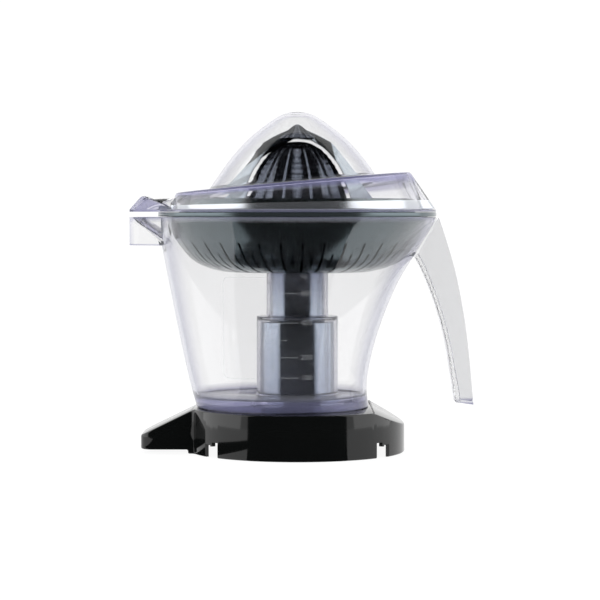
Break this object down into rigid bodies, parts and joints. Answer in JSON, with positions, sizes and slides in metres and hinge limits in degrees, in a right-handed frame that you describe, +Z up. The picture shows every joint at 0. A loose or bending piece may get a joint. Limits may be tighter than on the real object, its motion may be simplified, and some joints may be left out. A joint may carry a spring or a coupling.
{
  "type": "citrus press attachment",
  "caption": "Citrus press for a kitchen machine: low base with gear column, clear jug with spout and handle, strainer, cones and domed lid.",
  "frame": {"origin": "on the drive axis, at the level of the base's rim", "axes": "+Z up along the drive axis, +X towards the handle, -X towards the spout, -Y to the front"},
  "size_m": [0.2123, 0.172, 0.2102],
  "materials": {
    "black_gloss_plastic": "gloss",
    "slate_plastic": "satin",
    "clear_plastic": "clear gloss",
    "charcoal_plastic": "gloss",
    "acetal_plastic": "natural",
    "bright_steel": "ground",
    "sintered_bronze": "sintered",
    "seal_rubber": "matte"
  },
  "bodies": {
    "base": {"base_shell": "black_gloss_plastic", "bottom_cover": "black_gloss_plastic", "cover_screw_1": "bright_steel", "cover_screw_2": "bright_steel", "cover_screw_3": "bright_steel", "cover_screw_4": "bright_steel", "column_screw_1": "bright_steel", "column_screw_2": "bright_steel", "column_screw_3": "bright_steel", "gear_column": "slate_plastic", "gearbox_cover": "slate_plastic", "input_bush": "sintered_bronze", "lower_bush": "sintered_bronze", "upper_bush": "sintered_bronze", "shaft_seal": "seal_rubber", "ring_gear": "acetal_plastic"},
    "input": {"input_coupling": "bright_steel", "sun_gear_1": "bright_steel"},
    "carrier_1": {"planet_carrier_1": "acetal_plastic", "planet_pin_1_1": "bright_steel", "planet_pin_1_2": "bright_steel", "planet_pin_1_3": "bright_steel", "sun_gear_2": "bright_steel"},
    "planet_1_1": {"planet_gear_1_1": "acetal_plastic"},
    "planet_1_2": {"planet_gear_1_2": "acetal_plastic"},
    "planet_1_3": {"planet_gear_1_3": "acetal_plastic"},
    "output": {"output_carrier": "acetal_plastic", "planet_pin_2_1": "bright_steel", "planet_pin_2_2": "bright_steel", "planet_pin_2_3": "bright_steel", "output_shaft": "bright_steel", "circlip": "bright_steel", "thrust_washer": "sintered_bronze"},
    "planet_2_1": {"planet_gear_2_1": "acetal_plastic"},
    "planet_2_2": {"planet_gear_2_2": "acetal_plastic"},
    "planet_2_3": {"planet_gear_2_3": "acetal_plastic"},
    "jug": {"jug": "clear_plastic", "jug_handle": "clear_plastic"},
    "strainer": {"strainer": "charcoal_plastic"},
    "small_cone": {"small_cone": "charcoal_plastic"},
    "large_cone": {"large_cone": "charcoal_plastic"},
    "lid": {"lid": "clear_plastic"}
  },
  "joints": [
    {"name": "input_spin", "type": "hinge", "parent": "base", "child": "input", "pos_m": [0, 0, 0], "axis": [0, 0, 1], "continuous": true},
    {"name": "carrier_spin", "type": "hinge", "parent": "base", "child": "carrier_1", "pos_m": [0, 0, 0], "axis": [0, 0, 1], "continuous": true},
    {"name": "output_spin", "type": "hinge", "parent": "base", "child": "output", "pos_m": [0, 0, 0], "axis": [0, 0, 1], "continuous": true},
    {"name": "planet_1_1_spin", "type": "hinge", "parent": "carrier_1", "child": "planet_1_1", "pos_m": [0.01125, 0, 0], "axis": [0, 0, 1], "continuous": true},
    {"name": "planet_1_2_spin", "type": "hinge", "parent": "carrier_1", "child": "planet_1_2", "pos_m": [-0.00562, 0.00974, 0], "axis": [0, 0, 1], "continuous": true},
    {"name": "planet_1_3_spin", "type": "hinge", "parent": "carrier_1", "child": "planet_1_3", "pos_m": [-0.00562, -0.00974, 0], "axis": [0, 0, 1], "continuous": true},
    {"name": "planet_2_1_spin", "type": "hinge", "parent": "output", "child": "planet_2_1", "pos_m": [0.01125, 0, 0], "axis": [0, 0, 1], "continuous": true},
    {"name": "planet_2_2_spin", "type": "hinge", "parent": "output", "child": "planet_2_2", "pos_m": [-0.00562, 0.00974, 0], "axis": [0, 0, 1], "continuous": true},
    {"name": "planet_2_3_spin", "type": "hinge", "parent": "output", "child": "planet_2_3", "pos_m": [-0.00562, -0.00974, 0], "axis": [0, 0, 1], "continuous": true},
    {"name": "jug_lift", "type": "slide", "parent": "base", "child": "jug", "axis": [0, 0, 1], "range_m": [0, 0.12]},
    {"name": "strainer_lift", "type": "slide", "parent": "jug", "child": "strainer", "axis": [0, 0, 1], "range_m": [0, 0.05]},
    {"name": "cone_spin", "type": "hinge", "parent": "strainer", "child": "small_cone", "pos_m": [0, 0, 0], "axis": [0, 0, 1], "continuous": true},
    {"name": "large_cone_lift", "type": "slide", "parent": "small_cone", "child": "large_cone", "axis": [0, 0, 1], "range_m": [0, 0.005]},
    {"name": "lid_lift", "type": "slide", "parent": "strainer", "child": "lid", "axis": [0, 0, 1], "range_m": [0, 0.07]}
  ],
  "couplings": [
    {"joint": "carrier_spin", "follows": "input_spin", "ratio": 0.2},
    {"joint": "output_spin", "follows": "input_spin", "ratio": 0.04},
    {"joint": "planet_1_1_spin", "follows": "input_spin", "ratio": -0.53333},
    {"joint": "planet_1_2_spin", "follows": "input_spin", "ratio": -0.53333},
    {"joint": "planet_1_3_spin", "follows": "input_spin", "ratio": -0.53333},
    {"joint": "planet_2_1_spin", "follows": "input_spin", "ratio": -0.10667},
    {"joint": "planet_2_2_spin", "follows": "input_spin", "ratio": -0.10667},
    {"joint": "planet_2_3_spin", "follows": "input_spin", "ratio": -0.10667},
    {"joint": "cone_spin", "follows": "input_spin", "ratio": 0.04}
  ]
}
